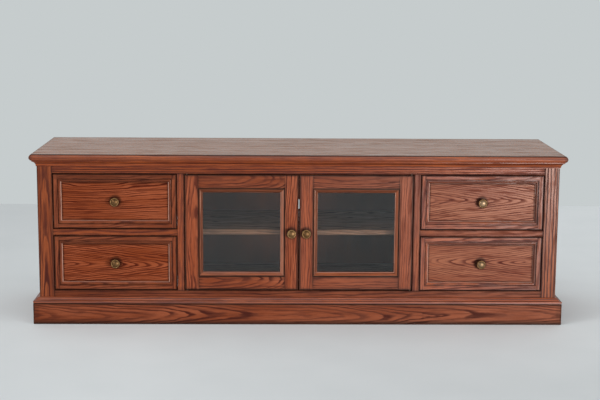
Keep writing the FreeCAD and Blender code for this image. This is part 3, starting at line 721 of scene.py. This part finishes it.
doors = {
    "stile": 0.0465,
    "moulding": 0.015,
    "shine": 0.29,
    # per door, for the strips: painted highlights on the inner edges, painted sheen and painted shade on
    # whole strips
    "left": dict(
        seed=91, grain=glossed(warmOak, 0.84, 0.72),
        board=dict(heart=(0.012, 0.034), lean=0.10, bow=0.5, contrast=1.0, tone=0.81),
        stile=dict(heart=(0.03, 0.05), spread=0.01, lean=0.03, contrast=0.9, pitch=0.0052, tone=0.96),
        paintedHighlight=(0.04, 0.16, 0.0, 0.24), paintedSheen=(0.0, 0.15, 0.0, 0.06), shaded=(0.40, 0.0, 0.52, 0.0)),
    "right": dict(
        seed=98, grain=glossed(warmOak, 0.94, 0.88),
        board=dict(heart=(0.03, 0.05), lean=0.03, contrast=0.85, streaks=0.4, tone=0.69, tilt=-0.06),
        stile=dict(heart=(0.04, 0.06), lean=0.02, contrast=0.8, streaks=0.4, pitch=0.0056, tone=0.86),
        paintedHighlight=(0.08, 0.24, 0.0, 0.26), paintedSheen=(0.0, 0.03, 0.0, 0.0), shaded=(0.33, 0.0, 0.50, 0.0)),
    "frameLine": (0.0095, 0.0008),
    "openingLine": (0.0042, 0.80),
    "upperShade": (0.10, 0.16, 0.11),
    "strips": dict(contrast=0.6, tone=0.90),
    "stripLine": (0.0048, 0.0020, 0.90),
    "beads": dict(contrast=0.6),
}
for side in ("left", "right"):
    body, look = "door_" + side, doors[side]
    panel, strip, bead = body + "_frame", body + "_moulding", body + "_beads"
    rail = {**look["board"], "fold": (halfWidth(panel, z, doors["stile"]), 0)}
    stile = {**look["stile"], "way": "upright", "fold": (halfWidth(panel, x, doors["stile"]), 0)}
    # glaze and painted shade: the gap round the frame, the corner by the moulding, the top's shadow and the
    # knob's seat
    dark = strongest(outline(panel, *doors["frameLine"]),
                     innerEdge(panel, doors["stile"], *doors["openingLine"]),
                     upperPart(*doors["upperShade"]), knobRing(panel, body + "_knob"))
    dress(panel, oakFinish(panel, look["seed"], rail, stile, nearEnds(panel, doors["stile"]),
                           shine=doors["shine"], wood=look["grain"], ownGlazeAndShade=dark))
    # painted shade on the strips' outline and on strips turned from the light, with glaze
    dark = strongest(outline(strip, *doors["stripLine"]),
                     wholeStrips(strip, 0.0, doors["moulding"], look["shaded"]))
    # painted highlights on the strips' inner edges and painted sheen on whole strips
    highlightShare = strongest(innerArris(strip, doors["moulding"], look["paintedHighlight"]),
                     wholeStrips(strip, 0.0, doors["moulding"], look["paintedSheen"]))
    dress(strip, oakFinish(strip, look["seed"] + 3, doors["strips"], {**doors["strips"], "way": "upright"},
                           pastMitre(strip), hollowShade=0.7, edge=0.2, satin=0.22, shine=0.40, wood=stripWood,
                           ownGlazeAndShade=dark, highlightAt=highlightShare))
    dress(bead, oakFinish(bead, look["seed"] + 5, doors["beads"], dict(way="upright"), pastMitre(bead),
                          edge=0.2))
print("doors finished")

metals = {
    "slide": dict(colour=(0.82, 0.83, 0.85), roughness=0.14),
    "fitting": dict(colour=(0.075, 0.062, 0.050), roughness=0.35),
}
patina = {"scale": 90.0, "dim": 0.7, "spread": 0.2}


def metalFinish(name, colour, roughness):
    s = Shade(name)
    cloud = s.cloud(s.axes(), patina["scale"], 3.0)
    shade = s.blend(cloud, [v * patina["dim"] for v in colour], colour)
    return s.finish(shade, s.timesPlus(cloud, patina["spread"], roughness), Metallic=1.0)


brass = {"rim": (0.42, 0.250, 0.105), "dome": (0.190, 0.101, 0.043), "tarnish": (0.078, 0.039, 0.017)}
paintedLitBrass = {"rim": (0.24, 0.140, 0.060), "dome": (0.37, 0.250, 0.152), "tarnish": (0.110, 0.060, 0.028)}
knobBrass = {                         # painted reflection: the right drawers' knobs have pale domes for the window's glint and the left door's knob is a lighter copy; the other knobs are of plain aged brass
    "drawer_upper_right_knob": paintedLitBrass,
    "drawer_lower_right_knob": {**paintedLitBrass, "dome": (0.26, 0.165, 0.092)},
    "door_left_knob": {**brass, "rim": (0.50, 0.310, 0.135), "dome": (0.240, 0.135, 0.060)},
}
knobParts = {
    "rim": (0.0105, 0.0128), "outer": (0.0131, 0.0146, 0.0, 0.75),      # distances from the knob's middle
    "cloud": 260.0, "spots": (0.35, 0.75, 0.0, 0.45),
    "groove": 0.003, "grooveDark": (0.8, 0.3, 0.0, 0.65),
    "roughness": (0.20, 0.38),
}


def knobFinish(node, metal):
    s = Shade(node)
    centre = middle(node)
    reach = s.reach(*[s.minus(s.axes()[i], centre[i]) for i in (x, z)])
    cloud = s.cloud(s.axes(), knobParts["cloud"], 4.0, 0.6)
    colour = s.blend(s.ramp(reach, *knobParts["rim"]), metal["dome"], metal["rim"])
    groove = s.ramp(s.corners(knobParts["groove"], False), *knobParts["grooveDark"])
    for dark in (s.ramp(reach, *knobParts["outer"]), s.ramp(cloud, *knobParts["spots"]), groove):
        colour = s.blend(dark, colour, metal["tarnish"])
    return s.finish(colour, s.timesPlus(cloud, *knobParts["roughness"]), Metallic=1.0)


for node in nodes:
    if node.endswith("_knob"):
        dress(node, knobFinish(node, knobBrass.get(node, brass)))
    elif node.endswith(("_runners", "_slide_middles")) or node == "slide_outers":
        dress(node, metalFinish(node, **metals["slide"]))
    elif node.endswith("_fittings") or node in ("pivot_plates", "shelf_pins"):
        dress(node, metalFinish(node, **metals["fitting"]))

catch = {
    "low": (0.030, 0.018, 0.012),
    "high": (0.055, 0.034, 0.022),
    "speck": 400.0,
    "roughness": (0.2, 0.45),
    "depth": 0.0001,
}
s = Shade("door_catches")
speck = s.cloud(s.axes(), catch["speck"], 2.0)
dress("door_catches", s.finish(s.blend(speck, catch["low"], catch["high"]),
                               s.timesPlus(speck, *catch["roughness"]), speck, catch["depth"]))

glass = {
    "clean": (0.80, 0.84, 0.84),
    "dusty": (0.86, 0.87, 0.85),
    "film": 9.0, "filmEdge": (0.35, 0.7),
    "shadow": (0.75, 0.78, 0.78, 1.0),
    "index": 1.45,
}


def glassFinish(name):
    s = Shade(name)
    pane = s.add("ShaderNodeBsdfPrincipled")
    film = s.ramp(s.cloud(s.axes(), glass["film"], 3.0), *glass["filmEdge"])
    s.feed(pane.inputs["Base Color"], s.blend(film, glass["clean"], glass["dusty"]))
    pane.inputs["Roughness"].default_value = 0.0
    pane.inputs["IOR"].default_value = glass["index"]
    pane.inputs["Transmission Weight"].default_value = 1.0
    through = s.add("ShaderNodeBsdfTransparent")
    through.inputs[0].default_value = glass["shadow"]
    path = s.add("ShaderNodeLightPath")
    surface = pane.outputs[0]
    for kind in ("Is Diffuse Ray", "Is Shadow Ray"):      # daylight passes straight in
        mix = s.add("ShaderNodeMixShader")
        for start, end in zip((path.outputs[kind], surface, through.outputs[0]), mix.inputs):
            s.link(start, end)
        surface = mix.outputs[0]
    s.link(surface, s.add("ShaderNodeOutputMaterial").inputs[0])
    return s.material


for side in ("left", "right"):
    dress(f"door_{side}_glass", glassFinish(f"door_{side}_glass"))
print("metal and glass finished")

view = {
    "place": (-0.08357, -4.61699, 1.17059),
    "pitch": 9.594,
    "yaw": 1.1286,
    "roll": 0.4013,
    "focusPixels": 1326.4,
    "frameWidth": 600,
    "sensor": 36.0,
}


def makeCamera():
    data = bpy.data.cameras.new("photoCamera")
    data.sensor_width = view["sensor"]
    data.lens = view["sensor"] * view["focusPixels"] / view["frameWidth"]
    camera = bpy.data.objects.new("photoCamera", data)
    bpy.context.scene.collection.objects.link(camera)
    pitch, yaw, roll = (math.radians(view[key]) for key in ("pitch", "yaw", "roll"))
    ahead = Vector((math.sin(yaw) * math.cos(pitch), math.cos(yaw) * math.cos(pitch), -math.sin(pitch)))
    right = Vector((math.cos(yaw), -math.sin(yaw), 0))
    up = right.cross(ahead)
    tiltedRight = math.cos(roll) * right + math.sin(roll) * up
    tiltedUp = -math.sin(roll) * right + math.cos(roll) * up
    turn = Matrix((tiltedRight, tiltedUp, -ahead)).transposed()
    camera.matrix_world = Matrix.Translation(view["place"]) @ turn.to_4x4()
    bpy.context.scene.camera = camera


room = {
    "wall": (0.565, 0.604, 0.610),
    "frontDim": 0.30,              # the room in front is darker than the wall behind
    "dimming": (-0.7, 0.3),
    "light": 0.70,
}
ground = {
    "low": (0.645, 0.69, 0.705),
    "high": (0.70, 0.74, 0.755),
    "reach": 12.0,
    "back": 2.15,
    "cloud": 5.0,
    "roughness": (0.2, 0.7),
    "underStand": (-1.1, -0.1, 1.0, 1.22),      # painted light and shade: lighter under the stand, darker at the left
    "leftEnd": (-1.3, -0.4, 0.82, 1.0),
    "nearby": (-1.4, -2.1, 0.0, 0.30),          # and a painted pool of light at the near right, which the varnish reflects
    "rightEnd": (-0.1, 0.7),
}
lamps = {                           # place, target, watts, width, height
    "window": ((1.60, -2.70, 0.30), (0.70, 0.0, 0.35), 63.0, 1.0, 0.45),
    "leftFill": ((-2.4, -2.3, 1.5), (-0.5, 0.0, 0.30), 28.0, 1.0, 1.0),
    "ceiling": ((0.0, -0.8, 3.0), (0.0, -0.2, 0.0), 9.0, 2.0, 0.8),
}


def makeLamp(name, place, target, watts, width, height):
    data = bpy.data.lights.new(name, "AREA")
    data.shape = "RECTANGLE"
    data.size, data.size_y = width, height
    data.energy = watts
    lamp = bpy.data.objects.new(name, data)
    lamp.location = place
    lamp.rotation_euler = (Vector(target) - Vector(place)).to_track_quat("-Z", "Y").to_euler()
    lamp.visible_camera = False
    bpy.context.scene.collection.objects.link(lamp)
    return lamp


def makeFloor():
    mesh = bpy.data.meshes.new("floor")
    reach, back = ground["reach"], ground["back"]
    corners = [(-reach, -reach, 0), (reach, -reach, 0), (reach, back, 0), (-reach, back, 0)]
    mesh.from_pydata(corners, [], [(0, 1, 2, 3)])
    floor = bpy.data.objects.new("floor", mesh)
    bpy.context.scene.collection.objects.link(floor)
    s = Shade("paleFloor")
    xyz = s.axes()
    cloud = s.cloud(xyz, ground["cloud"], 4.0)
    # painted light and shade on the floor
    shade = s.times(s.ramp(xyz[y], *ground["underStand"]), s.ramp(xyz[x], *ground["leftEnd"]))
    shade = s.plus(shade, s.times(s.ramp(xyz[y], *ground["nearby"]), s.ramp(xyz[x], *ground["rightEnd"])))
    colour = s.blend(cloud, ground["low"], ground["high"])
    colour = s.blend(1.0, colour, s.vector(shade, shade, shade), "MULTIPLY")
    s.finish(colour, s.timesPlus(cloud, *ground["roughness"]))
    floor.data.materials.append(s.material)
    return floor


def keepOff(lamp, thing):             # the low lamp would burn a white patch into the floor
    spared = bpy.data.collections.new("spared")
    spared.objects.link(thing)
    lamp.light_linking.receiver_collection = spared
    spared.collection_objects[0].light_linking.link_state = "EXCLUDE"


def makeWorld():
    world = bpy.data.worlds.new("paleRoom")
    bpy.context.scene.world = world
    world.use_nodes = True
    tree = world.node_tree
    tree.nodes.clear()
    link = tree.links.new
    path = tree.nodes.new("ShaderNodeLightPath")
    seen = path.outputs["Is Camera Ray"]
    for kind in ("Is Transmission Ray", "Is Glossy Ray"):      # the wall shows in glass and varnish too
        either = tree.nodes.new("ShaderNodeMath")
        either.operation = "MAXIMUM"
        link(seen, either.inputs[0])
        link(path.outputs[kind], either.inputs[1])
        seen = either.outputs[0]
    heading = tree.nodes.new("ShaderNodeTexCoord")
    split = tree.nodes.new("ShaderNodeSeparateXYZ")
    link(heading.outputs["Generated"], split.inputs[0])
    level = tree.nodes.new("ShaderNodeMapRange")
    level.interpolation_type = "SMOOTHSTEP"
    link(split.outputs[y], level.inputs["Value"])
    ends = (*room["dimming"], room["frontDim"], 1.0)
    for key, value in zip(("From Min", "From Max", "To Min", "To Max"), ends):
        level.inputs[key].default_value = value
    light = tree.nodes.new("ShaderNodeBackground")
    light.inputs[0].default_value = (1, 1, 1, 1)
    light.inputs[1].default_value = room["light"]
    wall = tree.nodes.new("ShaderNodeBackground")
    wall.inputs[0].default_value = (*room["wall"], 1)
    link(level.outputs[0], wall.inputs[1])
    mix = tree.nodes.new("ShaderNodeMixShader")
    for start, end in zip((seen, light.outputs[0], wall.outputs[0]), mix.inputs):
        link(start, end)
    out = tree.nodes.new("ShaderNodeOutputWorld")
    link(mix.outputs[0], out.inputs[0])


makeCamera()
floor = makeFloor()
makeWorld()
for name, setting in lamps.items():
    lamp = makeLamp(name, *setting)
    if name == "window":
        keepOff(lamp, floor)
bpy.context.scene.view_settings.view_transform = "Standard"
print("camera, floor and light set")
